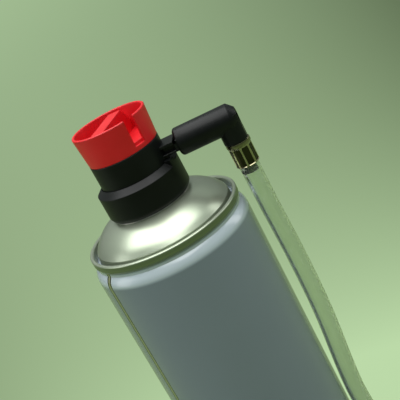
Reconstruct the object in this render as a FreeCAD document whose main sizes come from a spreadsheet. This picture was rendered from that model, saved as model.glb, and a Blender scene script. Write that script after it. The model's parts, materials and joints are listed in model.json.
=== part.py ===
"""Tire inflator: an aerosol can with its valve, press-down hose head, turn cap and filling hose.

The origin is the centre of the can's foot. +Z is up the can and the arm points along +X.
"""

import FreeCAD, Part
import math
import os
import re
import Sketcher

Vector = FreeCAD.Vector

# Driving sizes, in millimetres and degrees. Heights without another word are from the floor.
SIZES = {
    # can
    "can_height": 158.0,
    "body_radius": 32.5,
    "can_wall": 0.5,
    "top_seam_radius": 31.2,
    "seam_depth": 3.0,
    "seam_width": 1.5,
    "seam_round": 0.55,
    "can_neck_radius": 30.6,
    "can_neck_height": 1.9,
    "shoulder_drop": 4.3,
    "shoulder_curve": 6.0,
    "countersink_depth": 4.4,
    "countersink_width": 1.0,
    "dome_foot_radius": 27.9,
    "dome_top_radius": 15.0,
    "dome_rise": 8.1,
    "dome_curve": 17.9,
    "curl_radius": 14.3,
    "curl_rise": 11.5,
    "curl_bead": 1.4,
    "foot_seam_radius": 33.0,
    "foot_dome_rise": 7.5,
    "foot_dome_curve": 73.2,
    "foot_dome_flat": 4.0,
    "foot_recess": 2.6,
    # valve in the can's mouth
    "cup_wall": 0.35,
    "cup_depth": 8.3,
    "cup_gasket_thick": 0.3,
    "pedestal_radius": 5.6,
    "stem_radius": 2.0,
    "stem_bore": 0.8,
    "stem_orifice": 0.35,
    "stem_rise": 6.0,
    "stem_flange": 3.3,
    "stem_tail": 1.6,
    "stem_gasket_thick": 1.0,
    "stem_gap": 0.05,
    "gasket_inset": 0.4,
    "housing_rim": 5.15,
    "housing_body": 4.4,
    "housing_wall": 0.8,
    "housing_length": 12.2,
    "housing_tail": 7.5,
    "tail_radius": 2.2,
    "spring_wire": 0.55,
    "spring_gap": 0.05,
    "spring_radius": 2.6,
    "spring_turns": 5.0,
    "dip_wall": 0.7,
    "dip_foot_gap": 10.0,
    # collar on the can's mouth
    "skirt_radius": 16.95,
    "skirt_top": 177.4,
    "lip_height": 166.5,
    "lip_radius": 15.5,
    "lip_bore": 15.25,
    "lip_round": 2.6,
    "skirt_wall": 0.75,
    "band_rise": 2.15,
    "guide_bore": 14.25,
    "cradle_half_angle": 28.7,
    "cradle_top": 180.1,
    "cradle_slot": 10.6,
    # press-down head
    "press_travel": 1.8,
    "press_clearance": 0.3,
    "head_radius": 14.05,
    "head_wall": 1.3,
    "head_foot": 174.2,
    "head_top": 189.1,
    "deck_height": 181.5,
    "deck_thick": 1.4,
    "hub_radius": 4.5,
    "socket_clearance": 0.02,
    "arm_height": 182.7,
    "neck_width": 10.0,
    "neck_up": 2.5,
    "neck_down": 1.8,
    "neck_pocket": 2.0,
    "neck_rib": 0.75,
    "barrel_radius": 5.45,
    "barrel_start": 19.1,
    "barrel_round": 1.2,
    "leg_reach": 39.3,
    "leg_radius": 4.95,
    "leg_foot": 173.85,
    "leg_flat": 43.6,
    "elbow_chamfer": 2.5,
    "channel_radius": 1.25,
    "riser_radius": 1.05,
    "plug_radius": 2.1,
    "plug_length": 2.2,
    # turn cap
    "cap_height": 12.3,
    "cap_foot_radius": 14.0,
    "cap_rim_radius": 14.85,
    "cap_wall": 1.1,
    "cap_floor": 2.9,
    "cap_floor_thick": 1.3,
    "cap_gap": 0.05,
    "cap_ring_clearance": 0.08,
    "cap_ring_wall": 1.2,
    "cap_ring_depth": 3.2,
    "snap_bead": 0.3,
    "snap_height": 1.6,
    "cap_slot_width": 4.5,
    "cap_slot_floor": 1.8,
    "cap_slot_angle": -49.5,
    "grip_width": 5.1,
    "grip_angle": 78.0,
    "grip_drop": 0.15,
    "grip_reach": 8.8,
    "grip_slope": 7.0,
    # hose and its crimped ferrules
    "hose_radius": 3.85,
    "hose_bore": 2.8,
    "ferrule_radius": 4.6,
    "ferrule_flange": 4.85,
    "ferrule_flange_height": 2.0,
    "ferrule_length": 10.1,
    "ferrule_gap": 0.05,
    "ferrule_cap_thick": 0.8,
    "flute_radius": 0.55,
    "flute_count": 12,
    "barb_root": 2.4,
    "barb_radius": 2.78,
    "barb_pitch": 2.6,
    "barb_reach": 3.0,
    "tail_barb_back": 2.5,
    # tyre connector on the hose's far end
    "hose_end_reach": 38.6,
    "hose_end": 24.6,
    "tail_shoulder": 4.9,
    "tail_shoulder_thick": 1.5,
    "spindle_radius": 2.95,
    "swivel_flange": 3.6,
    "swivel_flange_thick": 1.3,
    "nut_radius": 5.6,
    "nut_length": 13.5,
    "nut_lip_thick": 1.5,
    "nut_bore": 3.9,
    "nut_flute_radius": 0.45,
    "nut_flute_count": 18,
    "swivel_gap": 0.08,
    "seal_thick": 1.4,
    "seal_bore": 1.3,
    "pin_radius": 0.6,
    "pin_head": 1.55,
    "pin_reach": 5.0,
    "fluid_bore": 1.1,
}

# The hose's route in the arm's plane, as distances from the can's axis and heights, with a small
# sideways wander. Its first and last points are replaced by the two ends that hold it.
HOSE_ROUTE = [
    (39.3, 0.0, 172.95),
    (39.3, 0.0, 150.0),
    (40.2, -0.2, 122.0),
    (40.0, -0.5, 94.0),
    (37.9, -0.4, 68.0),
    (37.2, -0.1, 51.0),
    (38.6, 0.0, 37.5),
    (38.6, 0.0, 24.6),
]

doc = FreeCAD.newDocument("tire_inflator")
sizes = doc.addObject("Spreadsheet::Sheet", "sizes")
for row, (word, amount) in enumerate(SIZES.items(), start=1):
    sizes.set("A%d" % row, word)
    sizes.set("B%d" % row, str(amount))
    sizes.setAlias("B%d" % row, word)
doc.recompute()


def bound(text):
    """The text of a size formula with every size name pointing at the sheet."""
    def point(match):
        word = match.group(0)
        return "sizes." + word if word in SIZES else word
    return re.sub(r"[a-z_]+", point, text)


def amount(text):
    """The present value of a size formula."""
    result = sizes.evalExpression(bound(text))
    return float(getattr(result, "Value", result))


# Heights that several pieces share, written as formulas of the driving sizes.
MOUTH_TOP = "(can_height + curl_rise + curl_bead)"
CUP_INNER_TOP = "(%s + cup_gasket_thick)" % MOUTH_TOP
CUP_TOP = "(%s + cup_wall)" % CUP_INNER_TOP
CHANNEL_BORE = "(curl_radius + curl_bead + 0.05)"
CHANNEL_RADIUS = "(%s + cup_wall)" % CHANNEL_BORE
CUP_WELL = "(curl_radius - curl_bead - 0.05)"
CUP_FLOOR = "(%s - cup_depth)" % CUP_TOP
GASKET_TOP = "(%s - cup_wall)" % CUP_TOP
GASKET_FOOT = "(%s - stem_gasket_thick)" % GASKET_TOP
STEM_TOP = "(%s + stem_rise)" % CUP_TOP
HOUSING_FOOT = "(%s - housing_length)" % GASKET_FOOT
FLANGE_TOP = "(%s - 0.1)" % GASKET_FOOT
FLANGE_FOOT = "(%s - 1.3)" % FLANGE_TOP
FERRULE_TOP = "(leg_foot - ferrule_gap)"
FERRULE_FOOT = "(%s - ferrule_length)" % FERRULE_TOP
BARB_FOOT = "(%s - barb_reach)" % FERRULE_FOOT
HOSE_TOP = "(%s - ferrule_cap_thick - ferrule_gap)" % FERRULE_TOP
CAP_FOOT = "(head_top + cap_gap)"
CAP_RIM = "(%s + cap_height)" % CAP_FOOT
CAP_FLOOR = "(%s + cap_floor)" % CAP_FOOT
NECK_TOP = "(arm_height + neck_up)"
NECK_FOOT = "(arm_height - neck_down)"
LOW_FERRULE_FOOT = "(hose_end - ferrule_cap_thick - ferrule_gap)"
LOW_FERRULE_TOP = "(%s + ferrule_length)" % LOW_FERRULE_FOOT
SHOULDER_TOP = "(%s - ferrule_gap)" % LOW_FERRULE_FOOT
SHOULDER_FOOT = "(%s - tail_shoulder_thick)" % SHOULDER_TOP
NUT_TOP = "(%s - swivel_gap)" % SHOULDER_FOOT
NUT_FOOT = "(%s - nut_length)" % NUT_TOP
SWIVEL_TOP = "(%s - nut_lip_thick - swivel_gap)" % NUT_TOP
SWIVEL_FOOT = "(%s - swivel_flange_thick)" % SWIVEL_TOP


def origin_plane(body, role):
    """One of a body's own origin planes, such as XZ_Plane."""
    return [item for item in body.Origin.OriginFeatures if item.Role == role][0]


def new_body(name):
    body = doc.addObject("PartDesign::Body", name)
    body.Label = name
    return body


def place_vertex(sketch, geometry, end, across, up):
    """Ties one end of a line or an arc to a pair of size formulas."""
    for text, kind, axis in ((across, "DistanceX", -2), (up, "DistanceY", -1)):
        if text == "0":
            sketch.addConstraint(Sketcher.Constraint("PointOnObject", geometry, end, axis))
            continue
        index = sketch.addConstraint(
            Sketcher.Constraint(kind, -1, 1, geometry, end, amount(text)))
        sketch.setExpression("Constraints[%d]" % index, bound(text))


def arc_through(start, end, radius, side):
    """The short arc between two points, with its centre to the left (+1) or right (-1)."""
    chord = end - start
    half = chord.Length / 2
    radius = max(radius, half * 1.0001)
    left = Vector(-chord.y, chord.x, 0) / chord.Length
    rise = math.sqrt(radius ** 2 - half ** 2)
    middle = (start + end) / 2
    centre = middle + left * side * rise
    top = centre + (middle - centre).normalize() * radius
    if rise < 1e-6:
        top = middle - left * side * radius
    return Part.Arc(start, top, end)


def outline(body, name, points, plane="XZ_Plane", shift=None, turn=None, lift=None):
    """A closed sketch through points of two size formulas each.

    A third item (radius, side) makes the edge that arrives at the point an arc. shift moves the
    sketch sideways in its own plane, lift moves it along the plane's normal, and turn rotates it.
    """
    sketch = body.newObject("Sketcher::SketchObject", name)
    sketch.AttachmentSupport = [(origin_plane(body, plane), "")]
    sketch.MapMode = "FlatFace"
    offset = Vector(amount(shift or "0"), 0, amount(lift or "0"))
    rotation = FreeCAD.Rotation(Vector(0, 0, 1), amount(turn or "0"))
    sketch.AttachmentOffset = FreeCAD.Placement(offset, rotation)
    if shift:
        sketch.setExpression("AttachmentOffset.Base.x", bound(shift))
    if lift:
        sketch.setExpression("AttachmentOffset.Base.z", bound(lift))
    if turn:
        sketch.setExpression("AttachmentOffset.Rotation.Angle", bound(turn))
    spots = [Vector(amount(point[0]), amount(point[1]), 0) for point in points]
    count = len(points)
    ends = []
    for index in range(count):
        start = spots[index]
        end = spots[(index + 1) % count]
        rule = points[(index + 1) % count][2:]
        if rule:
            radius, side = rule[0]
            edge = sketch.addGeometry(arc_through(start, end, amount(radius), side), False)
            swapped = (sketch.getPoint(edge, 1) - start).Length > (
                sketch.getPoint(edge, 2) - start).Length
            ends.append((edge, 2 if swapped else 1, 1 if swapped else 2))
        else:
            edge = sketch.addGeometry(Part.LineSegment(start, end), False)
            ends.append((edge, 1, 2))
    for index in range(count):
        edge, first, last = ends[index]
        following = ends[(index + 1) % count]
        sketch.addConstraint(Sketcher.Constraint("Coincident", edge, last, following[0], following[1]))
        place_vertex(sketch, edge, first, points[index][0], points[index][1])
    for index in range(count):
        rule = points[(index + 1) % count][2:]
        if rule:
            radius = rule[0][0]
            spot = sketch.addConstraint(
                Sketcher.Constraint("Radius", ends[index][0], amount(radius)))
            sketch.setExpression("Constraints[%d]" % spot, bound(radius))
    return sketch


def disc(body, name, across, up, radius, plane="XY_Plane", lift=None, shift=None):
    """A sketch with one circle."""
    sketch = body.newObject("Sketcher::SketchObject", name)
    sketch.AttachmentSupport = [(origin_plane(body, plane), "")]
    sketch.MapMode = "FlatFace"
    sketch.AttachmentOffset = FreeCAD.Placement(
        Vector(amount(shift or "0"), 0, amount(lift or "0")), FreeCAD.Rotation())
    if lift:
        sketch.setExpression("AttachmentOffset.Base.z", bound(lift))
    if shift:
        sketch.setExpression("AttachmentOffset.Base.x", bound(shift))
    centre = Vector(amount(across), amount(up), 0)
    edge = sketch.addGeometry(Part.Circle(centre, Vector(0, 0, 1), amount(radius)), False)
    place_vertex(sketch, edge, 3, across, up)
    index = sketch.addConstraint(Sketcher.Constraint("Radius", edge, amount(radius)))
    sketch.setExpression("Constraints[%d]" % index, bound(radius))
    return sketch


def turned(body, name, points, cut=False, shift=None, angle=None):
    """A revolved boss or groove about the body's Z axis, or about a parallel one at shift."""
    sketch = outline(body, name + "_outline", points, shift=shift)
    kind = "PartDesign::Groove" if cut else "PartDesign::Revolution"
    feature = body.newObject(kind, name)
    feature.Profile = sketch
    feature.ReferenceAxis = (sketch, ["V_Axis"])
    feature.Angle = 360.0
    if angle:
        feature.Midplane = True
        feature.setExpression("Angle", bound(angle))
    sketch.Visibility = False
    return feature


def extruded(body, name, sketch, length, cut=False, reverse=False, both=False):
    """A pad or a pocket of a sketch, with its length as a size formula."""
    feature = body.newObject("PartDesign::Pocket" if cut else "PartDesign::Pad", name)
    feature.Profile = sketch
    feature.Length = amount(length)
    feature.setExpression("Length", bound(length))
    feature.Reversed = reverse
    if both:
        feature.Midplane = True
    sketch.Visibility = False
    return feature


def rectangle(left, right, low, high):
    return [(left, low), (right, low), (right, high), (left, high)]


def make_can():
    body = new_body("can")
    seam_top = "can_height"
    seam_foot = "can_height - seam_depth"
    groove = "can_height - countersink_depth"
    neck_foot = "can_height - seam_depth - can_neck_height"
    shoulder_foot = neck_foot + " - shoulder_drop"
    seam_inner = "top_seam_radius - seam_width"
    dome_top = "can_height + dome_rise"
    bead_middle = "can_height + curl_rise"
    turned(body, "can_shell", [
        ("0", "foot_dome_rise"),
        ("foot_dome_flat", "foot_dome_rise"),
        ("foot_seam_radius - seam_width - 1.2", "foot_recess", ("foot_dome_curve", -1)),
        ("foot_seam_radius - seam_width", "foot_recess"),
        ("foot_seam_radius - seam_width", "seam_round"),
        ("foot_seam_radius - seam_width + seam_round", "0", ("seam_round", 1)),
        ("foot_seam_radius - seam_round", "0"),
        ("foot_seam_radius", "seam_round", ("seam_round", 1)),
        ("foot_seam_radius", "seam_depth - seam_round"),
        ("body_radius", "seam_depth", ("seam_round", 1)),
        ("body_radius", shoulder_foot),
        ("can_neck_radius", neck_foot, ("shoulder_curve", 1)),
        ("can_neck_radius", seam_foot + " - 0.35"),
        ("top_seam_radius - 0.25", seam_foot),
        ("top_seam_radius", seam_foot + " + 0.4"),
        ("top_seam_radius", seam_top + " - seam_round"),
        ("top_seam_radius - seam_round", seam_top, ("seam_round", 1)),
        (seam_inner + " + 0.35", seam_top),
        (seam_inner, seam_top + " - 0.35"),
        (seam_inner + " - 0.2", groove + " + 0.5"),
        (seam_inner + " - 0.2 - countersink_width", groove + " + 0.5", ("countersink_width / 2 + 0.02", -1)),
        ("dome_foot_radius", seam_top),
        ("dome_top_radius", dome_top, ("dome_curve", 1)),
        ("curl_radius", dome_top + " + 0.35"),
        ("curl_radius", bead_middle + " - curl_bead"),
        ("curl_radius + curl_bead", bead_middle, ("curl_bead", 1)),
        ("curl_radius", bead_middle + " + curl_bead", ("curl_bead", 1)),
        ("curl_radius - curl_bead", bead_middle, ("curl_bead", 1)),
        ("curl_radius - curl_bead", dome_top + " - can_wall"),
        ("dome_top_radius - can_wall", dome_top + " - can_wall"),
        ("dome_foot_radius - can_wall", seam_top + " - can_wall", ("dome_curve - can_wall", -1)),
        ("dome_foot_radius + 0.1", groove + " - can_wall"),
        ("can_neck_radius - can_wall", groove + " - can_wall"),
        ("body_radius - can_wall", shoulder_foot, ("shoulder_curve - can_wall", -1)),
        ("body_radius - can_wall", "seam_depth + can_wall"),
        ("foot_seam_radius - seam_width - 1.2", "foot_recess + can_wall"),
        ("foot_dome_flat", "foot_dome_rise + can_wall", ("foot_dome_curve + can_wall", 1)),
        ("0", "foot_dome_rise + can_wall"),
    ])
    return body


def make_mounting_cup():
    body = new_body("mounting_cup")
    skirt_foot = "can_height + curl_rise - 0.7"
    turned(body, "cup_wall_section", [
        (CHANNEL_BORE, skirt_foot),
        (CHANNEL_RADIUS, skirt_foot),
        (CHANNEL_RADIUS, CUP_TOP + " - 1.2"),
        (CHANNEL_RADIUS + " - 1.2", CUP_TOP, ("1.2", 1)),
        (CUP_WELL + " + 0.6", CUP_TOP),
        (CUP_WELL + " - cup_wall", CUP_TOP + " - 1", ("1.1", 1)),
        (CUP_WELL + " - cup_wall", CUP_FLOOR + " + 1.6"),
        (CUP_WELL + " - cup_wall - 1.25", CUP_FLOOR + " + cup_wall", ("1.3", -1)),
        ("pedestal_radius + 0.5", CUP_FLOOR + " + cup_wall"),
        ("pedestal_radius", CUP_FLOOR + " + cup_wall + 0.5"),
        ("pedestal_radius", CUP_TOP + " - 0.7"),
        ("pedestal_radius - 0.7", CUP_TOP, ("0.7", 1)),
        ("stem_radius + 0.4", CUP_TOP),
        ("stem_radius + 0.4", CUP_TOP + " - cup_wall"),
        ("pedestal_radius - cup_wall - 0.4", CUP_TOP + " - cup_wall"),
        ("pedestal_radius - cup_wall", CUP_TOP + " - cup_wall - 0.4", ("0.4", -1)),
        ("pedestal_radius - cup_wall", CUP_FLOOR),
        (CUP_WELL + " - 1.4", CUP_FLOOR),
        (CUP_WELL, CUP_FLOOR + " + 1.5", ("1.6", 1)),
        (CUP_WELL, CUP_INNER_TOP + " - 1"),
        (CUP_WELL + " + 0.75", CUP_INNER_TOP, ("0.9", -1)),
        (CHANNEL_BORE + " - 0.85", CUP_INNER_TOP),
        (CHANNEL_BORE, CUP_INNER_TOP + " - 0.85", ("0.85", -1)),
    ])
    return body


def make_ring(name, inner, outer, low, high, reach=None):
    """A flat washer between two heights."""
    body = new_body(name)
    turned(body, name + "_section", rectangle(inner, outer, low, high), shift=reach)
    return body


def make_valve_housing():
    body = new_body("valve_housing")
    bore = "housing_body - housing_wall"
    floor = HOUSING_FOOT + " + housing_wall"
    turned(body, "housing_shell", [
        ("tail_radius - housing_wall", HOUSING_FOOT + " - housing_tail"),
        ("tail_radius - 0.3", HOUSING_FOOT + " - housing_tail"),
        ("tail_radius", HOUSING_FOOT + " - housing_tail + 0.6"),
        ("tail_radius", HOUSING_FOOT),
        ("housing_body", HOUSING_FOOT),
        ("housing_body", GASKET_FOOT + " - 3.4"),
        ("housing_rim", GASKET_FOOT + " - 2.8"),
        ("housing_rim", GASKET_FOOT),
        (bore, GASKET_FOOT),
        (bore, floor),
        ("tail_radius - housing_wall", floor),
    ])
    return body


def make_valve_stem():
    body = new_body("valve_stem")
    turned(body, "stem_shaft", [
        ("0", FLANGE_FOOT + " - 3"),
        ("stem_tail", FLANGE_FOOT + " - 3"),
        ("stem_tail", FLANGE_FOOT),
        ("stem_flange", FLANGE_FOOT),
        ("stem_flange", FLANGE_TOP),
        ("stem_radius", FLANGE_TOP),
        ("stem_radius", STEM_TOP + " - 0.3"),
        ("stem_radius - 0.3", STEM_TOP),
        ("0", STEM_TOP),
    ])
    bore = disc(body, "stem_bore_circle", "0", "0", "stem_bore", lift=GASKET_FOOT + " + 0.3")
    extruded(body, "stem_bore_hole", bore, STEM_TOP, cut=True, reverse=True)
    side = disc(body, "orifice_circle", "0", GASKET_FOOT + " + 0.5 * stem_gasket_thick",
                "stem_orifice", plane="YZ_Plane")
    extruded(body, "orifice_hole", side, "2 * stem_flange", cut=True, both=True)
    return body


def make_valve_spring():
    """An open coil of round wire between the housing's floor and the stem's flange."""
    wire = amount("spring_wire") / 2
    low = amount(HOUSING_FOOT + " + housing_wall + spring_gap") + wire
    high = amount(FLANGE_FOOT + " - spring_gap") - wire
    turns = amount("spring_turns")
    radius = amount("spring_radius")
    helix = Part.makeHelix((high - low) / turns, high - low, radius)
    section = Part.Wire([Part.Circle(Vector(radius, 0, 0), Vector(0, 1, 0), wire).toShape()])
    coil = Part.Wire(helix.Edges).makePipeShell([section], True, True)
    spring = doc.addObject("Part::Feature", "valve_spring")
    spring.Label = "valve_spring"
    spring.Shape = coil
    spring.Placement = FreeCAD.Placement(Vector(0, 0, low), FreeCAD.Rotation())
    return spring


def make_collar():
    body = new_body("collar")
    bore = "skirt_radius - skirt_wall"
    ledge = CUP_TOP + " + 0.05"
    turned(body, "collar_section", [
        ("lip_bore", "lip_height"),
        ("lip_radius", "lip_height"),
        ("skirt_radius", "lip_height + 2.1", ("lip_round", 1)),
        ("skirt_radius", "skirt_top"),
        ("guide_bore + 0.15", "skirt_top + band_rise"),
        ("guide_bore", "skirt_top + band_rise - 0.15"),
        ("guide_bore", ledge),
        (bore, ledge),
        (bore, "lip_height + 2.3"),
        ("lip_bore", "lip_height + 1.5"),
    ])
    turned(body, "cradle_section", rectangle(
        "guide_bore", "skirt_radius", "skirt_top - 1", "cradle_top"),
        angle="2 * cradle_half_angle")
    slot = outline(body, "cradle_slot_outline", rectangle(
        "-cradle_slot / 2", "cradle_slot / 2",
        NECK_FOOT + " - press_travel - press_clearance", "cradle_top + 2"), plane="YZ_Plane")
    extruded(body, "cradle_slot", slot, "2 * skirt_radius", cut=True, reverse=True)
    return body


def make_head_arm():
    """The moulding with the head's cylinder, hub, neck, barrel, elbow, leg and hose barb."""
    body = new_body("head_arm")
    wall = "head_radius - head_wall"
    groove = "head_top - snap_height"
    hub_foot = CUP_TOP + " + press_travel + press_clearance"
    socket = "stem_radius + socket_clearance"
    turned(body, "head_section", [
        (socket, hub_foot),
        ("hub_radius", hub_foot),
        ("hub_radius", "deck_height"),
        (wall, "deck_height"),
        (wall, "head_foot + 0.4"),
        ("head_radius - 0.4", "head_foot"),
        ("head_radius", "head_foot + 0.4"),
        ("head_radius", "head_top"),
        (wall + " + 0.2", "head_top"),
        (wall, "head_top - 0.2"),
        (wall, groove + " + snap_bead"),
        (wall + " + snap_bead", groove),
        (wall, groove + " - snap_bead"),
        (wall, "deck_height + deck_thick"),
        ("hub_radius", "deck_height + deck_thick"),
        ("hub_radius", "arm_height + channel_radius + 1.2"),
        ("0", "arm_height + channel_radius + 1.2"),
        ("0", STEM_TOP),
        (socket, STEM_TOP),
    ])
    neck = outline(body, "neck_outline", rectangle(
        "-neck_width / 2", "neck_width / 2", NECK_FOOT, NECK_TOP),
        plane="YZ_Plane", lift="hub_radius / 2")
    extruded(body, "neck", neck, "barrel_start + 1.5 - hub_radius / 2")
    for side, sign in (("near", "-"), ("far", "")):
        near = sign + "(neck_width / 2 + 0.5)"
        deep = sign + "(neck_width / 2 - neck_pocket)"
        pocket = outline(body, side + "_pocket_outline", rectangle(
            *(sorted((near, deep), key=amount)),
            NECK_FOOT + " + neck_rib", NECK_TOP + " - 1.3"),
            plane="YZ_Plane", lift="head_radius + 0.3")
        extruded(body, side + "_pocket", pocket, "barrel_start - head_radius - 1", cut=True,
                 reverse=True)
    turned_leg(body)
    barrel = outline(body, "barrel_outline", [
        ("0", "barrel_start"),
        ("barrel_radius - barrel_round", "barrel_start"),
        ("barrel_radius", "barrel_start + barrel_round", ("barrel_round", 1)),
        ("barrel_radius", "leg_flat - elbow_chamfer"),
        ("barrel_radius - elbow_chamfer - 0.5", "leg_flat + 0.5"),
        ("0", "leg_flat + 0.5"),
    ], plane="XY_Plane", lift="arm_height", turn="-90")
    spin = body.newObject("PartDesign::Revolution", "barrel")
    spin.Profile = barrel
    spin.ReferenceAxis = (barrel, ["V_Axis"])
    spin.Angle = 360.0
    flat = outline(body, "leg_flat_outline", rectangle(
        "-2 * barrel_radius", "2 * barrel_radius", "leg_foot - 1", "arm_height + 2 * barrel_radius"),
        plane="YZ_Plane", lift="leg_flat")
    extruded(body, "leg_flat", flat, "2 * barrel_radius", cut=True, reverse=True)
    channel = disc(body, "channel_circle", "0", "arm_height", "channel_radius", plane="YZ_Plane")
    extruded(body, "channel", channel, "leg_flat + 1", cut=True, reverse=True)
    seat = disc(body, "plug_seat_circle", "0", "arm_height", "plug_radius", plane="YZ_Plane",
                lift="leg_flat - plug_length")
    extruded(body, "plug_seat", seat, "plug_length + 1", cut=True, reverse=True)
    drop = disc(body, "rise_circle", "0", "0", "riser_radius", lift=STEM_TOP + " - 0.1")
    extruded(body, "rise", drop, "arm_height - %s + 0.1" % STEM_TOP, cut=True, reverse=True)
    down = disc(body, "fall_circle", "leg_reach", "0", "riser_radius", lift="arm_height")
    extruded(body, "fall", down, "arm_height", cut=True)
    return body


def turned_leg(body):
    """The leg and the barb below it, turned about the leg's axis."""
    points = [("0", "arm_height"), ("leg_radius", "arm_height"), ("leg_radius", "leg_foot"),
              ("barb_root", "leg_foot")]
    for ridge in (2, 1, 0):
        peak = BARB_FOOT + " + %d * barb_pitch" % ridge
        points.append(("barb_root", peak + " + 1.3"))
        points.append(("barb_radius", peak + " + 1.3"))
        points.append(("barb_radius", peak + " + 0.8"))
        points.append(("barb_root", peak))
    points.append(("0", BARB_FOOT))
    turned(body, "leg", points, shift="leg_reach")


def make_channel_plug():
    body = new_body("channel_plug")
    sketch = disc(body, "plug_circle", "0", "arm_height", "plug_radius", plane="YZ_Plane",
                  lift="leg_flat - plug_length")
    extruded(body, "plug", sketch, "plug_length")
    return body


def make_turn_cap():
    body = new_body("turn_cap")
    ring = "head_radius - head_wall - cap_ring_clearance"
    ring_foot = CAP_FOOT + " - cap_ring_depth"
    groove = "head_top - snap_height"
    underside = CAP_FLOOR + " - cap_floor_thick"
    turned(body, "cap_section", [
        ("0", underside),
        (ring + " - cap_ring_wall", underside),
        (ring + " - cap_ring_wall", ring_foot),
        (ring + " - 0.3", ring_foot),
        (ring, ring_foot + " + 0.3"),
        (ring, groove + " - snap_bead"),
        (ring + " + snap_bead", groove),
        (ring, groove + " + snap_bead"),
        (ring, CAP_FOOT),
        ("cap_foot_radius - 0.15", CAP_FOOT),
        ("cap_foot_radius", CAP_FOOT + " + 0.15"),
        ("cap_rim_radius", CAP_RIM + " - 0.3"),
        ("cap_rim_radius - 0.3", CAP_RIM),
        ("cap_rim_radius - cap_wall + 0.25", CAP_RIM),
        ("cap_rim_radius - cap_wall", CAP_RIM + " - 0.25"),
        ("cap_foot_radius - cap_wall + 0.2", CAP_FLOOR),
        ("0", CAP_FLOOR),
    ])
    far = "cap_rim_radius - cap_wall / 2"
    crest = CAP_RIM + " - grip_drop"
    grip = outline(body, "grip_outline", [
        ("-(%s)" % far, crest),
        ("-(cap_foot_radius - cap_wall / 2)", CAP_FLOOR + " - cap_floor_thick / 2"),
        ("cap_foot_radius - cap_wall / 2", CAP_FLOOR + " - cap_floor_thick / 2"),
        (far, crest + " - grip_slope"),
        ("grip_reach", crest),
    ])
    extruded(body, "grip_bar", grip, "grip_width", both=True)
    slot = outline(body, "slot_outline", rectangle(
        "cap_foot_radius - cap_wall - 0.4", "cap_rim_radius + 2",
        "-cap_slot_width / 2", "cap_slot_width / 2"), plane="XY_Plane",
        lift=CAP_FOOT + " + cap_slot_floor", turn="cap_slot_angle - grip_angle")
    extruded(body, "cap_slot", slot, "cap_height", cut=True, reverse=True)
    body.Placement = FreeCAD.Placement(
        Vector(0, 0, 0), FreeCAD.Rotation(Vector(0, 0, 1), amount("grip_angle")))
    body.setExpression("Placement.Rotation.Angle", bound("grip_angle"))
    return body


def make_ferrule(name, foot, reach, flange_up):
    """A brass ferrule crimped in flutes over the hose's end."""
    body = new_body(name)
    top = "%s + ferrule_length" % foot
    if flange_up:
        rim = [
            ("barb_radius + 0.15", top),
            ("ferrule_flange - 0.3", top),
            ("ferrule_flange", top + " - 0.3"),
            ("ferrule_flange", top + " - ferrule_flange_height + 0.4"),
            ("ferrule_radius", top + " - ferrule_flange_height"),
            ("ferrule_radius", foot + " + 0.5"),
            ("ferrule_radius - 0.4", foot),
            ("hose_radius + 0.05", foot),
            ("hose_radius + 0.05", top + " - ferrule_cap_thick"),
            ("barb_radius + 0.15", top + " - ferrule_cap_thick"),
        ]
        flute_from = foot + " - 0.5"
    else:
        rim = [
            ("barb_radius + 0.15", foot),
            ("barb_radius + 0.15", foot + " + ferrule_cap_thick"),
            ("hose_radius + 0.05", foot + " + ferrule_cap_thick"),
            ("hose_radius + 0.05", top),
            ("ferrule_radius - 0.4", top),
            ("ferrule_radius", top + " - 0.5"),
            ("ferrule_radius", foot + " + ferrule_flange_height"),
            ("ferrule_flange", foot + " + ferrule_flange_height - 0.4"),
            ("ferrule_flange", foot + " + 0.3"),
            ("ferrule_flange - 0.3", foot),
        ]
        flute_from = foot + " + ferrule_flange_height + 0.4"
    turned(body, name + "_section", rim)
    flute = disc(body, name + "_flute_circle", "ferrule_radius + flute_radius * 0.3", "0",
                 "flute_radius", lift=flute_from)
    cut = extruded(body, name + "_flute", flute, "ferrule_length - ferrule_flange_height + 0.1",
                   cut=True, reverse=True)
    repeat_round(body, cut, flute, "flute_count")
    body.Placement = FreeCAD.Placement(Vector(amount(reach), 0, 0), FreeCAD.Rotation())
    body.setExpression("Placement.Base.x", bound(reach))
    return body


def repeat_round(body, feature, sketch, count):
    """Copies a feature round the body's Z axis."""
    doc.recompute()
    pattern = body.newObject("PartDesign::PolarPattern", feature.Name + "_round")
    pattern.Originals = [feature]
    pattern.Axis = (sketch, ["N_Axis"])
    pattern.Angle = 360.0
    pattern.Occurrences = int(amount(count))
    pattern.setExpression("Occurrences", bound(count))
    body.Tip = pattern
    return pattern


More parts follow.
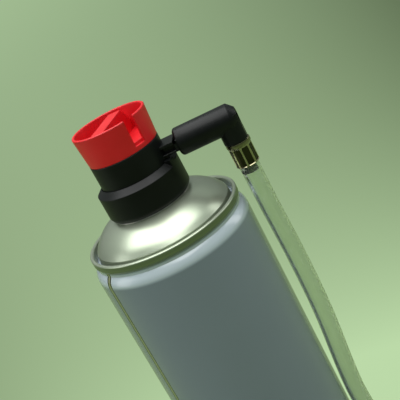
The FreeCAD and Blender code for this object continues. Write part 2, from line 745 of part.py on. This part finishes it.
def make_hose():
    """The clear hose: straight runs joined by tangent arcs, with its bore cut through."""
    route = [Vector(*point) for point in HOSE_ROUTE]
    route[0] = Vector(amount("leg_reach"), 0, amount(HOSE_TOP))
    route[-1] = Vector(amount("hose_end_reach"), 0, amount("hose_end"))
    runs = [(after - before).Length for before, after in zip(route, route[1:])]
    edges = []
    start = route[0]
    for index in range(1, len(route) - 1):
        before = (route[index] - route[index - 1]).normalize()
        after = (route[index + 1] - route[index]).normalize()
        turn = before.getAngle(after)
        reach = 0.45 * min(runs[index - 1], runs[index])
        radius = reach / math.tan(turn / 2)
        print("hose bend %d radius %.1f mm" % (index, radius))
        enter = route[index] - before * reach
        leave = route[index] + after * reach
        bisector = (after - before).normalize()
        middle = route[index] + bisector * (radius / math.cos(turn / 2) - radius)
        edges.append(Part.LineSegment(start, enter).toShape())
        edges.append(Part.Arc(enter, middle, leave).toShape())
        start = leave
    edges.append(Part.LineSegment(start, route[-1]).toShape())
    path = Part.Wire(edges)
    down = (route[1] - route[0]).normalize()
    tubes = []
    for radius in (amount("hose_radius"), amount("hose_bore")):
        ring = Part.Wire([Part.Circle(route[0], down, radius).toShape()])
        tubes.append(path.makePipeShell([ring], True, True))
    tube = tubes[0].cut(tubes[1])
    expected = math.pi * (amount("hose_radius") ** 2 - amount("hose_bore") ** 2) * path.Length
    print("hose length %.1f mm, volume %.1f of %.1f" % (path.Length, tube.Volume, expected))
    hose = doc.addObject("Part::Feature", "hose")
    hose.Label = "hose"
    hose.Shape = tube
    return hose


def make_hose_tail():
    """The turned brass tail: barb in the hose, shoulder, spindle and swivel flange."""
    body = new_body("hose_tail")
    barb_top = "hose_end + ferrule_length - ferrule_cap_thick - tail_barb_back"
    points = [
        ("fluid_bore", SWIVEL_FOOT),
        ("swivel_flange", SWIVEL_FOOT),
        ("swivel_flange", SWIVEL_TOP),
        ("spindle_radius", SWIVEL_TOP),
        ("spindle_radius", SHOULDER_FOOT),
        ("tail_shoulder", SHOULDER_FOOT),
        ("tail_shoulder", SHOULDER_TOP),
        ("barb_root", SHOULDER_TOP),
    ]
    for ridge in (2, 1, 0):
        peak = barb_top + " - %d * barb_pitch" % ridge
        points.append(("barb_root", peak + " - 1.3"))
        points.append(("barb_radius", peak + " - 1.3"))
        points.append(("barb_radius", peak + " - 0.8"))
        points.append(("barb_root", peak))
    points.append(("fluid_bore", barb_top))
    turned(body, "tail_section", points)
    seat = [("0", SWIVEL_FOOT + " - 1"), ("pin_head + 0.05", SWIVEL_FOOT + " - 1"),
            ("pin_head + 0.05", SWIVEL_FOOT + " + 1.2"), ("0", SWIVEL_FOOT + " + 1.2")]
    turned(body, "pin_seat", seat, cut=True)
    body.Placement = FreeCAD.Placement(Vector(amount("hose_end_reach"), 0, 0), FreeCAD.Rotation())
    body.setExpression("Placement.Base.x", bound("hose_end_reach"))
    return body


def make_connector_nut():
    body = new_body("connector_nut")
    turned(body, "nut_section", [
        ("nut_bore + 0.4", NUT_FOOT),
        ("nut_radius - 0.5", NUT_FOOT),
        ("nut_radius", NUT_FOOT + " + 0.5"),
        ("nut_radius", NUT_TOP + " - 0.5"),
        ("nut_radius - 0.5", NUT_TOP),
        ("spindle_radius + swivel_gap", NUT_TOP),
        ("spindle_radius + swivel_gap", NUT_TOP + " - nut_lip_thick"),
        ("nut_bore", NUT_TOP + " - nut_lip_thick"),
        ("nut_bore", NUT_FOOT + " + 0.4"),
    ])
    flute = disc(body, "nut_flute_circle", "nut_radius + nut_flute_radius * 0.3", "0",
                 "nut_flute_radius", lift=NUT_FOOT + " - 1")
    cut = extruded(body, "nut_flute", flute, "nut_length + 2", cut=True, reverse=True)
    repeat_round(body, cut, flute, "nut_flute_count")
    body.Placement = FreeCAD.Placement(Vector(amount("hose_end_reach"), 0, 0), FreeCAD.Rotation())
    body.setExpression("Placement.Base.x", bound("hose_end_reach"))
    return body


def make_core_pin():
    """The pin that opens the tyre valve, with two flats on its head for the air."""
    body = new_body("core_pin")
    turned(body, "pin_section", [
        ("0", SWIVEL_FOOT + " - pin_reach"),
        ("pin_radius - 0.2", SWIVEL_FOOT + " - pin_reach"),
        ("pin_radius", SWIVEL_FOOT + " - pin_reach + 0.2"),
        ("pin_radius", SWIVEL_FOOT + " + 0.1"),
        ("pin_head", SWIVEL_FOOT + " + 0.1"),
        ("pin_head", SWIVEL_FOOT + " + 1.15"),
        ("0", SWIVEL_FOOT + " + 1.15"),
    ])
    for side, low, high in (("near", "-2 * pin_head", "-pin_radius - 0.15"),
                            ("far", "pin_radius + 0.15", "2 * pin_head")):
        flat = outline(body, side + "_flat_outline", rectangle(
            "-2 * pin_head", "2 * pin_head", low, high), plane="XY_Plane",
            lift=SWIVEL_FOOT)
        extruded(body, side + "_flat", flat, "1.5", cut=True, reverse=True)
    body.Placement = FreeCAD.Placement(Vector(amount("hose_end_reach"), 0, 0), FreeCAD.Rotation())
    body.setExpression("Placement.Base.x", bound("hose_end_reach"))
    return body


def make_all():
    """Every piece of the inflator, from the can upwards and then along the hose."""
    dip_top = HOUSING_FOOT + " - 0.5"
    return [
        make_can(),
        make_mounting_cup(),
        make_ring("cup_gasket", CUP_WELL + " + 0.8", CHANNEL_BORE + " - 0.9",
                  MOUTH_TOP, CUP_INNER_TOP),
        make_ring("stem_gasket", "stem_radius + stem_gap", "housing_rim - gasket_inset",
                  GASKET_FOOT, GASKET_TOP),
        make_valve_housing(),
        make_valve_stem(),
        make_valve_spring(),
        make_ring("dip_tube", "tail_radius + stem_gap", "tail_radius + stem_gap + dip_wall",
                  "foot_dome_rise + dip_foot_gap", dip_top),
        make_collar(),
        make_head_arm(),
        make_channel_plug(),
        make_turn_cap(),
        make_ferrule("hose_ferrule", FERRULE_FOOT, "leg_reach", True),
        make_hose(),
        make_ferrule("tail_ferrule", LOW_FERRULE_FOOT, "hose_end_reach", False),
        make_hose_tail(),
        make_connector_nut(),
        make_ring("connector_seal", "seal_bore + 0.5", "nut_bore - 0.1",
                  SWIVEL_FOOT + " - seal_thick", SWIVEL_FOOT, reach="hose_end_reach"),
        make_core_pin(),
    ]


pieces = make_all()
doc.recompute()

for item in doc.Objects:
    if "Invalid" in item.State or "Error" in item.State:
        raise RuntimeError("%s failed: %s" % (item.Name, item.State))
for piece in pieces:
    if piece.Shape.isNull() or not piece.Shape.isValid():
        raise RuntimeError("%s has no valid solid" % piece.Label)
    if len(piece.Shape.Solids) != 1:
        raise RuntimeError("%s has %d solids" % (piece.Label, len(piece.Shape.Solids)))

os.makedirs("parts", exist_ok=True)
for piece in pieces:
    piece.Shape.exportStep("parts/%s.step" % piece.Label)
    box = piece.Shape.BoundBox
    print("%-16s %9.1f mm3  z %.2f to %.2f" % (piece.Label, piece.Shape.Volume, box.ZMin, box.ZMax))
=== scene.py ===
import bpy
import bmesh
import json
import math
import numpy as np
from mathutils import Matrix, Vector

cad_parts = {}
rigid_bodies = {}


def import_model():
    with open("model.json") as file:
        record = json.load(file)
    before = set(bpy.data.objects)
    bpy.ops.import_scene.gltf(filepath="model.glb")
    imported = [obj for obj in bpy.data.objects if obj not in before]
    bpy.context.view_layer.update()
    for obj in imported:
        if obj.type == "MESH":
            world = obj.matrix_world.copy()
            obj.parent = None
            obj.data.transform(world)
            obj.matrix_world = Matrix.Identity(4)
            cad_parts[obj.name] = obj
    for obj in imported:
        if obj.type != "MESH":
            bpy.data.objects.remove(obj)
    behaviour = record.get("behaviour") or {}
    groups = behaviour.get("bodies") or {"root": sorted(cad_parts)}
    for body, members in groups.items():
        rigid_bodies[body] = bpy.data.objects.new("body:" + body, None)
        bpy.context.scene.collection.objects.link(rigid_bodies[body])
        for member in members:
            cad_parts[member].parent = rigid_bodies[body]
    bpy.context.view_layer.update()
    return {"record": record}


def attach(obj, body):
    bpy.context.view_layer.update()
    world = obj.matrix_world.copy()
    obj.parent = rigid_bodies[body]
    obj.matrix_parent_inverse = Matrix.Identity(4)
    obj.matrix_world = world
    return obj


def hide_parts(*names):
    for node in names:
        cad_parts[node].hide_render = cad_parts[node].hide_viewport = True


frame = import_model()
scene = bpy.context.scene
scene.view_settings.view_transform = "Standard"


# Camera, fitted to the photograph

camera = bpy.data.objects.new("camera", bpy.data.cameras.new("camera"))
scene.collection.objects.link(camera)
camera.data.sensor_width = 36
camera.data.lens = 73.65
camera.data.clip_start = 0.01
camera.matrix_world = Matrix((
    (0.896485, 0.410970, 0.165586, 0.067928),
    (0.000377, 0.373012, -0.927826, -0.287806),
    (-0.443074, 0.831845, 0.334245, 0.262151),
    (0, 0, 0, 1)))
scene.camera = camera


def millimetres(values):
    return np.asarray(values, dtype=float) / 1000.0


def shown(text):
    """A colour as it looks on screen, such as 7A8C5D, in linear light."""
    channels = [int(text[i:i + 2], 16) / 255 for i in (0, 2, 4)]
    return tuple(
        c / 12.92 if c <= 0.04045 else ((c + 0.055) / 1.055) ** 2.4 for c in channels) + (1.0,)


class Signal:
    """A shader socket that plain arithmetic works on."""

    def __init__(self, look, socket):
        self.look = look
        self.socket = socket

    def math(self, operation, *others, clamp=False):
        node = self.look.node("ShaderNodeMath", operation=operation, use_clamp=clamp)
        for index, value in enumerate((self,) + others):
            self.look.feed(node.inputs[index], value)
        return Signal(self.look, node.outputs[0])

    def __add__(self, other):
        return self.math("ADD", other)

    def __sub__(self, other):
        return self.math("SUBTRACT", other)

    def __mul__(self, other):
        return self.math("MULTIPLY", other)

    def __truediv__(self, other):
        return self.math("DIVIDE", other)

    def __gt__(self, other):
        return self.math("GREATER_THAN", other)

    def absolute(self):
        return self.math("ABSOLUTE")

    def between(self, low, high):
        """0 below low, 1 above high, smooth between; swapped ends run the other way."""
        node = self.look.node("ShaderNodeMapRange", interpolation_type="SMOOTHSTEP")
        if low > high:
            node.inputs["To Min"].default_value = 1
            node.inputs["To Max"].default_value = 0
            low, high = high, low
        self.look.feed(node.inputs["Value"], self)
        node.inputs["From Min"].default_value = low
        node.inputs["From Max"].default_value = high
        return Signal(self.look, node.outputs["Result"])


class Look:
    """A material with one Principled shader, built from Signals."""

    def __init__(self, name, colour, roughness, **constants):
        self.material = bpy.data.materials.new(name)
        self.material.use_nodes = True
        self.tree = self.material.node_tree
        self.shader = self.tree.nodes["Principled BSDF"]
        self.shader.inputs["Base Color"].default_value = colour
        self.shader.inputs["Roughness"].default_value = roughness
        for socket, value in constants.items():
            self.shader.inputs[socket.replace("_", " ")].default_value = value
        coordinates = self.node("ShaderNodeTexCoord")
        self.place = coordinates.outputs["Object"]
        split = self.node("ShaderNodeSeparateXYZ")
        self.tree.links.new(self.place, split.inputs[0])
        self.x, self.y, self.z = (Signal(self, out) for out in split.outputs)

    def node(self, kind, **settings):
        node = self.tree.nodes.new(kind)
        for key, value in settings.items():
            setattr(node, key, value)
        return node

    def feed(self, socket, value):
        if isinstance(value, Signal):
            self.tree.links.new(value.socket, socket)
        elif hasattr(value, "is_output"):
            self.tree.links.new(value, socket)
        else:
            socket.default_value = value

    def noise(self, scale, detail=3.0, stretch=(1, 1, 1), rough=0.55):
        mapping = self.node("ShaderNodeMapping")
        mapping.inputs["Scale"].default_value = stretch
        self.tree.links.new(self.place, mapping.inputs["Vector"])
        node = self.node("ShaderNodeTexNoise")
        self.tree.links.new(mapping.outputs[0], node.inputs["Vector"])
        node.inputs["Scale"].default_value = scale
        node.inputs["Detail"].default_value = detail
        node.inputs["Roughness"].default_value = rough
        return Signal(self, node.outputs[0])

    def radius(self):
        return (self.x * self.x + self.y * self.y).math("SQRT")

    def mix(self, amount, first, second):
        node = self.node("ShaderNodeMix", data_type="RGBA")
        self.feed(node.inputs[0], amount)
        self.feed(node.inputs[6], first)
        self.feed(node.inputs[7], second)
        return Signal(self, node.outputs[2])

    def set(self, **sockets):
        for socket, value in sockets.items():
            self.feed(self.shader.inputs[socket.replace("_", " ")], value)
        return self

    def bump(self, height, distance, strength=1.0, edge=0.0):
        node = self.node("ShaderNodeBump")
        if edge:
            rounded = self.node("ShaderNodeBevel", samples=6)
            rounded.inputs["Radius"].default_value = edge
            self.tree.links.new(rounded.outputs[0], node.inputs["Normal"])
        node.inputs["Strength"].default_value = strength
        node.inputs["Distance"].default_value = distance
        self.feed(node.inputs["Height"], height)
        self.tree.links.new(node.outputs[0], self.shader.inputs["Normal"])
        return self


# Finishes

def lacquerLook():
    """Grey-blue lacquered tin: bright plate on the dome and seams, a bare weld stripe, and a
    painted reflection as a pale band on the shoulder.
    """
    look = Look("lacquered_tin", shown("6D7981"), 0.2, Coat_Weight=0.6, Coat_Roughness=0.1)
    seam = math.radians(-139)
    along = look.x * math.cos(seam) + look.y * math.sin(seam)
    across = (look.y * math.cos(seam) - look.x * math.sin(seam)).absolute()
    facing = along > 0.0
    stripe = across.between(0.0014, 0.0012) * facing
    wire = across.between(0.0006, 0.0004) * facing
    out = look.radius()
    plate = look.z.between(0.1544, 0.15465)
    foot = look.z.between(0.0031, 0.0028)
    wall = out.between(0.0305, 0.0307) * look.z.between(0.1576, 0.15735)
    line = look.z.between(0.1557, 0.1559) * look.z.between(0.1563, 0.1561)
    bare = (plate + foot).math("MINIMUM", 1.0)
    grain = look.noise(900, 2.0, stretch=(1, 1, 0.06))
    mottle = look.noise(55, 4.0)
    # painted reflection: a pale blue-grey band on the shoulder stands for the overhead lamp's
    # reflection in the lacquer
    shoulder_reflection = look.z.between(0.1484, 0.1500) * look.z.between(0.1545, 0.1538)
    colour = look.mix(mottle * 0.25, shown("727B8A"), shown("808A97"))
    colour = look.mix(shoulder_reflection * 0.7, colour, shown("B9C6CC"))
    colour = look.mix(stripe, colour, shown("33361F"))
    colour = look.mix(wire, colour, shown("7F8560"))
    colour = look.mix(bare, colour, shown("A8B19E"))
    colour = look.mix(wall * bare, colour, shown("767F68"))
    colour = look.mix(line * wall, colour, shown("7B8468"))
    look.set(Base_Color=colour, Metallic=bare * 0.78, Roughness=grain * 0.06 + plate * 0.12 + 0.16,
             Coat_Weight=bare * -0.6 + 0.6)
    look.bump(grain * 0.3 + mottle, 0.00002, 0.25)
    return look.material


def plasticLook(name, colour, worn, roughness, speckle=0.00001, shine=0.5):
    """Moulded plastic with a faint spark-eroded texture and slightly uneven sheen."""
    look = Look(name, colour, roughness, Specular_IOR_Level=shine)
    grain = look.noise(2600, 2.0)
    cloud = look.noise(90, 3.0)
    look.set(Base_Color=look.mix(cloud.between(0.35, 0.75), colour, worn),
             Roughness=cloud * 0.12 + (roughness - 0.06))
    look.bump(grain, speckle, 0.5, edge=0.00035)
    return look.material


def metalLook(name, colour, dark, roughness, scale=260):
    look = Look(name, colour, roughness, Metallic=1.0)
    cloud = look.noise(scale, 4.0)
    lines = look.noise(1500, 2.0, stretch=(0.15, 0.15, 1))
    look.set(Base_Color=look.mix(cloud.between(0.4, 0.8), colour, dark),
             Roughness=cloud * 0.2 + (roughness - 0.1))
    look.bump(lines, 0.00001, 0.4)
    return look.material


def hoseLook():
    """Clear soft vinyl: glossy, faintly cloudy, with fine draw lines."""
    look = Look("clear_hose", (0.93, 0.96, 0.95, 1), 0.06, Transmission_Weight=0.96, IOR=1.52)
    cloud = look.noise(120, 3.0, stretch=(1, 1, 0.2))
    look.set(Roughness=cloud * 0.04)
    look.bump(cloud, 0.00006, 0.4)
    return look.material


looks = {
    "lacquered_tin": lacquerLook(),
    "tinplate": metalLook("tinplate", shown("C6C6C0"), shown("A8A89E"), 0.3),
    "spring_steel": metalLook("spring_steel", shown("A5A5A5"), shown("8A8A88"), 0.35),
    "black_plastic": plasticLook(
        "black_plastic", shown("040606"), shown("090C0C"), 0.4, shine=0.22),
    "red_plastic": plasticLook("red_plastic", shown("C80E18"), shown("D01620"), 0.42, shine=0.4),
    "natural_plastic": plasticLook("natural_plastic", shown("DEDDD2"), shown("D2D1C4"), 0.45),
    "brass": metalLook("brass", shown("A0946E"), shown("4E4A32"), 0.22),
    "clear_hose": hoseLook(),
    "seal_rubber": plasticLook("seal_rubber", shown("1A1A1A"), shown("242322"), 0.7),
}

for part in frame["record"]["subparts"]:
    for slot in bpy.data.objects[part["node"]].material_slots:
        slot.material = looks[part["material_slot"]]
print("finishes set")


# Floor, backdrop and light

def makeFloor():
    """A round pale green floor whose brightness drifts as the photograph's backdrop does."""
    grid = bmesh.new()
    bmesh.ops.create_circle(grid, cap_ends=True, radius=40.0, segments=96)
    mesh = bpy.data.meshes.new("floor")
    grid.to_mesh(mesh)
    grid.free()
    floor = bpy.data.objects.new("floor", mesh)
    scene.collection.objects.link(floor)
    floor.location.z = -0.0005
    look = Look("floor", shown("75885F"), 0.9, Specular_IOR_Level=0.0)
    east = look.x - 0.0679
    north = look.y + 0.2878
    ahead = (north * 0.9845 - east * 0.1756).math("MAXIMUM", 0.34)
    aside = east * 0.9845 + north * 0.1756
    near = (ahead / 0.2626).math("POWER", -1.0)
    side = (aside / ahead).math("MINIMUM", 0.4).math("MAXIMUM", -0.4)
    level = (near * near * 1.893 - near * 0.963 - side * 0.512 + near * side * 0.688
             - side * side * 1.31 + 0.551).math("MINIMUM", 0.75).math("MAXIMUM", 0.12)
    glow = look.node("ShaderNodeEmission")
    tint = look.mix(level, (0, 0, 0, 1), (0.75, 1.04, 0.60, 1))
    look.feed(glow.inputs["Color"], tint)
    seen = look.node("ShaderNodeLightPath").outputs["Is Camera Ray"]
    blend = look.node("ShaderNodeMixShader")
    look.feed(blend.inputs[0], Signal(look, seen) * 0.8)
    look.feed(blend.inputs[1], look.shader.outputs[0])
    look.feed(blend.inputs[2], glow.outputs[0])
    look.feed(look.tree.nodes["Material Output"].inputs[0], blend.outputs[0])
    mesh.materials.append(look.material)


makeFloor()


def makeWorld():
    """Dim near the horizon and lighter overhead, with the floor's far colour for the camera."""
    world = bpy.data.worlds.new("world")
    scene.world = world
    world.use_nodes = True
    nodes = world.node_tree.nodes
    link = world.node_tree.links.new
    light = nodes["Background"]
    place = nodes.new("ShaderNodeTexCoord")
    split = nodes.new("ShaderNodeSeparateXYZ")
    link(place.outputs["Generated"], split.inputs[0])
    ramp = nodes.new("ShaderNodeMapRange")
    ramp.inputs["From Min"].default_value = 0.0
    ramp.inputs["From Max"].default_value = 0.8
    ramp.inputs["To Min"].default_value = 0.16
    ramp.inputs["To Max"].default_value = 0.6
    link(split.outputs["Z"], ramp.inputs["Value"])
    light.inputs["Color"].default_value = (0.84, 0.95, 0.88, 1)
    link(ramp.outputs[0], light.inputs["Strength"])
    back = nodes.new("ShaderNodeBackground")
    back.inputs["Color"].default_value = (0.38, 0.52, 0.31, 1)
    path = nodes.new("ShaderNodeLightPath")
    blend = nodes.new("ShaderNodeMixShader")
    link(path.outputs["Is Camera Ray"], blend.inputs[0])
    link(light.outputs[0], blend.inputs[1])
    link(back.outputs[0], blend.inputs[2])
    link(blend.outputs[0], nodes["World Output"].inputs[0])


makeWorld()


def softLamp(name, place, target, size, power, colour=(1, 1, 1)):
    data = bpy.data.lights.new(name, "AREA")
    data.shape = "RECTANGLE"
    data.size, data.size_y = size
    data.energy = power
    data.color = colour
    lamp = bpy.data.objects.new(name, data)
    scene.collection.objects.link(lamp)
    lamp.location = place
    lamp.rotation_euler = (Vector(target) - Vector(place)).to_track_quat("-Z", "Y").to_euler()
    return lamp


softLamp("key", (-0.05, -0.08, 1.15), (0, 0, 0.17), (1.5, 1.1), 20)
softLamp("fill", (-1.1, -0.2, 0.45), (0, 0, 0.15), (0.5, 0.8), 2.0)
softLamp("rim", (0.95, 0.35, 0.5), (0, 0, 0.17), (0.3, 0.8), 1.6)
print("stage lit")


# Clear hose, a free tube hanging beside the can

armHeight = 182.7
legReach = 39.3
flatReach = 4.3
hoseOuter = 3.85
hoseBore = 2.8

hoseRoute = [
    (legReach, 0.0, 172.95),
    (legReach, 0.0, 150.0),
    (40.2, -0.2, 122.0),
    (40.0, -0.5, 94.0),
    (37.9, -0.4, 68.0),
    (37.2, -0.1, 51.0),
    (38.6, 0.0, 37.5),
    (38.6, 0.0, 24.6),
]


def smoothLine(name, points):
    """The points along a NURBS line that has the route's points as its controls."""
    data = bpy.data.curves.new(name, "CURVE")
    data.dimensions = "3D"
    data.resolution_u = 14
    spline = data.splines.new("NURBS")
    spline.points.add(len(points) - 1)
    for spot, point in zip(spline.points, points):
        spot.co = (*millimetres(point), 1)
    spline.order_u = 3
    spline.use_endpoint_u = True
    line = bpy.data.objects.new(name, data)
    scene.collection.objects.link(line)
    mesh = bpy.data.meshes.new_from_object(line)
    found = np.array([vertex.co[:] for vertex in mesh.vertices])
    bpy.data.objects.remove(line)
    bpy.data.curves.remove(data)
    return found


def tubeMesh(name, line, outer, inner, around=48):
    """A tube with a bore along a line of points, its ends closed by flat rings."""
    tangent = np.gradient(line, axis=0)
    tangent /= np.linalg.norm(tangent, axis=1)[:, None]
    side = np.cross(np.array([0.0, 1.0, 0.0]), tangent)
    side /= np.linalg.norm(side, axis=1)[:, None]
    over = np.cross(tangent, side)
    turn = np.linspace(0, 2 * np.pi, around, endpoint=False)
    ring = side[:, None] * np.cos(turn)[None, :, None] + over[:, None] * np.sin(turn)[None, :, None]
    rows = len(line)
    skin = (line[:, None] + ring * outer).reshape(-1, 3)
    bore = (line[:, None] + ring * inner).reshape(-1, 3)
    index = np.arange(rows * around).reshape(rows, around)
    nextAround = np.roll(index, -1, axis=1)
    faces = []
    first, second = index[:-1], index[1:]
    firstNext, secondNext = nextAround[:-1], nextAround[1:]
    faces += np.stack([first, firstNext, secondNext, second], -1).reshape(-1, 4).tolist()
    shift = rows * around
    faces += (np.stack([first, second, secondNext, firstNext], -1).reshape(-1, 4) + shift).tolist()
    for row, flip in ((0, True), (rows - 1, False)):
        quad = [index[row], nextAround[row], nextAround[row] + shift, index[row] + shift]
        if flip:
            quad = quad[::-1]
        faces += np.stack(quad, -1).tolist()
    return meshObject(name, np.vstack([skin, bore]), faces)


def meshObject(name, points, faces, sharp=35):
    mesh = bpy.data.meshes.new(name)
    mesh.from_pydata(points.tolist(), [], faces)
    mesh.validate()
    mesh.update()
    piece = bpy.data.objects.new(name, mesh)
    scene.collection.objects.link(piece)
    mesh.set_sharp_from_angle(angle=math.radians(sharp))
    return piece


hoseLine = smoothLine("hose_line", hoseRoute)
hose = tubeMesh("clear_tube", hoseLine, hoseOuter / 1000, hoseBore / 1000)
hose.data.materials.append(looks["clear_hose"])
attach(hose, "head")
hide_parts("hose")


# Finely turned pieces that stand for or cover CAD solids

def latheMesh(name, profile, around=96, shape=None, place=None):
    """A closed profile of (radius, height) millimetres turned about Z; shape varies the radius."""
    turn = np.linspace(0, 2 * np.pi, around, endpoint=False)
    rows = np.asarray(profile, dtype=float)
    radius = np.repeat(rows[:, :1], around, axis=1)
    height = np.repeat(rows[:, 1:2], around, axis=1)
    if shape is not None:
        radius = shape(turn[None, :], radius, height)
    points = np.stack([radius * np.cos(turn), radius * np.sin(turn), height], -1).reshape(-1, 3)
    if place is not None:
        points = place(points)
    index = np.arange(len(rows) * around).reshape(len(rows), around)
    below, beside = np.roll(index, -1, axis=0), np.roll(index, -1, axis=1)
    corner = np.roll(below, -1, axis=1)
    faces = np.stack([index, beside, corner, below], -1).reshape(-1, 4).tolist()
    return meshObject(name, millimetres(points), faces, sharp=28)


def crimp(turn, radius, height, low, high):
    """Eight flat-bottomed flutes pressed into the sleeve between two heights."""
    phase = np.abs((turn * 8 / (2 * np.pi)) % 1.0 - 0.5) * 2
    groove = np.clip((0.84 - phase) / 0.16, 0, 1)
    inside = np.clip((height - low) / 0.35, 0, 1) * np.clip((high - height) / 0.5, 0, 1)
    outer = radius > 4.3
    return radius - 0.42 * groove * inside * outer


def sleeveLook():
    """Brass, bright on the ridges and rims, with painted shade in dark brown in the flutes and on
    the flange band, and crimp marks in the flutes.
    """
    look = Look("crimped_brass", shown("B9A772"), 0.18, Metallic=1.0)
    cloud = look.noise(500, 4.0)
    marks = look.noise(2500, 2.0, stretch=(1, 1, 0.1))
    out = ((look.x - 0.0393) * (look.x - 0.0393) + look.y * look.y).math("SQRT")
    # painted shade: the flutes, and the flange band at 0.4, are darkened towards 3A3826
    painted_shade = out.between(0.00448, 0.00428)
    rim = look.z.between(0.1716, 0.172) * look.z.between(0.1736, 0.1733)
    painted_shade = (painted_shade + rim * 0.4).math("MINIMUM", 1.0)
    colour = look.mix(cloud.between(0.4, 0.75) * 0.5, shown("AAA486"), shown("777152"))
    look.set(Base_Color=look.mix(painted_shade, colour, shown("3A3826")),
             Roughness=painted_shade * 0.14 + cloud * 0.12 + 0.1)
    look.bump(marks, 0.00002, 0.6)
    return look.material


sleeveLift = 1.4
sleeveHeights = [162.3, 162.35, 162.7, 163.0, 163.3, 166.0, 169.4, 169.7, 170.0, 170.35]
sleeveProfile = [(3.9, 162.3), (4.3, 162.3)] + [(4.6, z) for z in sleeveHeights[2:]] + [
    (4.68, 170.6), (4.85, 170.8), (4.87, 171.2), (4.87, 171.9), (4.8, 172.2), (4.6, 172.38),
    (2.95, 172.38), (2.95, 171.6), (3.9, 171.6)]
# The light line at the collar's foot
lipRadius, lipHeight, lipSize = 15.72, 166.33, 0.2
lipTurn = np.linspace(0, 2 * np.pi, 10, endpoint=False)
lipLine = latheMesh("cup_lip", [
    (lipRadius + lipSize * np.cos(angle), lipHeight + lipSize * np.sin(angle))
    for angle in lipTurn])
lipLine.data.materials.append(looks["tinplate"])
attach(lipLine, "can_body")

sleeveFinish = sleeveLook()
sleeve = latheMesh("crimped_sleeve", sleeveProfile, around=192,
                   shape=lambda turn, r, z: crimp(turn, r, z, 162.7, 170.3),
                   place=lambda points: points + np.array([legReach, 0, sleeveLift]))
sleeve.data.materials.append(sleeveFinish)
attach(sleeve, "head")
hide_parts("hose_ferrule")


def alongArm(points):
    """Turned points laid along the arm, so that height becomes reach."""
    return np.stack([points[:, 2], points[:, 0], points[:, 1] + armHeight], -1)


def flatSide(turn, radius, height):
    """The leg's outer side is flat, level with the arm's end."""
    reach = np.where(np.cos(turn) > 0.2, flatReach / np.maximum(np.cos(turn), 0.2), 99)
    return np.minimum(radius, np.broadcast_to(reach, radius.shape))


def atLeg(points):
    return points + np.array([legReach, 0, 0])


def boxMesh(name, boxes, bevel):
    """Overlapping blocks of low and high corners in millimetres, with rounded edges."""
    shape = bmesh.new()
    for low, high in boxes:
        low, high = millimetres(low), millimetres(high)
        made = bmesh.ops.create_cube(shape, size=1.0)["verts"]
        for vertex in made:
            for axis in range(3):
                vertex.co[axis] = high[axis] if vertex.co[axis] > 0 else low[axis]
    bmesh.ops.bevel(shape, geom=shape.edges[:], offset=bevel / 1000, segments=2, affect="EDGES")
    mesh = bpy.data.meshes.new(name)
    shape.to_mesh(mesh)
    shape.free()
    piece = bpy.data.objects.new(name, mesh)
    scene.collection.objects.link(piece)
    mesh.set_sharp_from_angle(angle=math.radians(40))
    return piece


pressHead = latheMesh("press_head", [
    (2.02, 173.66), (4.5, 173.66), (4.5, 181.5), (12.75, 181.5), (12.75, 174.5),
    (12.95, 174.2), (13.75, 174.2), (14.05, 174.55), (14.05, 188.95), (13.9, 189.1),
    (12.95, 189.1), (12.75, 188.9), (12.75, 187.8), (13.05, 187.5), (12.75, 187.2),
    (12.75, 182.9), (4.5, 182.9), (4.5, 185.1), (1.25, 185.1), (1.25, 177.6), (2.02, 177.6)],
    around=160)
armNeck = boxMesh("arm_neck", [
    ((12.9, -5, 183.9), (19.6, 5, 185.2)),
    ((12.9, -5, 180.9), (19.6, 5, 181.65)),
    ((12.9, -3, 181.3), (19.6, 3, 184.3)),
    ((18.3, -5, 180.9), (20.4, 5, 185.2))], 0.12)
armBarrel = latheMesh("arm_barrel", [
    (0.01, 19.1), (4.1, 19.1), (4.65, 19.22), (5.1, 19.5), (5.35, 19.85), (5.45, 20.3),
    (5.45, 40.9), (5.38, 41.15), (3.2, 43.45), (2.95, 43.6), (2.12, 43.6), (2.12, 41.4),
    (0.01, 41.4)], around=128, place=alongArm)
armLeg = latheMesh("arm_leg", [
    (0.01, 184.0), (5.2, 184.0), (5.2, 183.0), (4.95, 181.5), (4.95, 173.95), (4.85, 173.85),
    (2.4, 173.85), (2.4, 167.2), (2.78, 167.2), (2.78, 166.7), (2.4, 165.9), (2.4, 164.6),
    (2.78, 164.6), (2.78, 164.1), (2.4, 163.3), (2.4, 162.6), (2.78, 162.2), (2.78, 160.9),
    (2.6, 160.7), (1.25, 160.7), (1.25, 163.0), (0.01, 163.0)],
    around=128, shape=flatSide, place=atLeg)
for piece in (pressHead, armNeck, armBarrel, armLeg):
    piece.data.materials.append(looks["black_plastic"])
    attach(piece, "head")
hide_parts("head_arm")
print("turned pieces made")
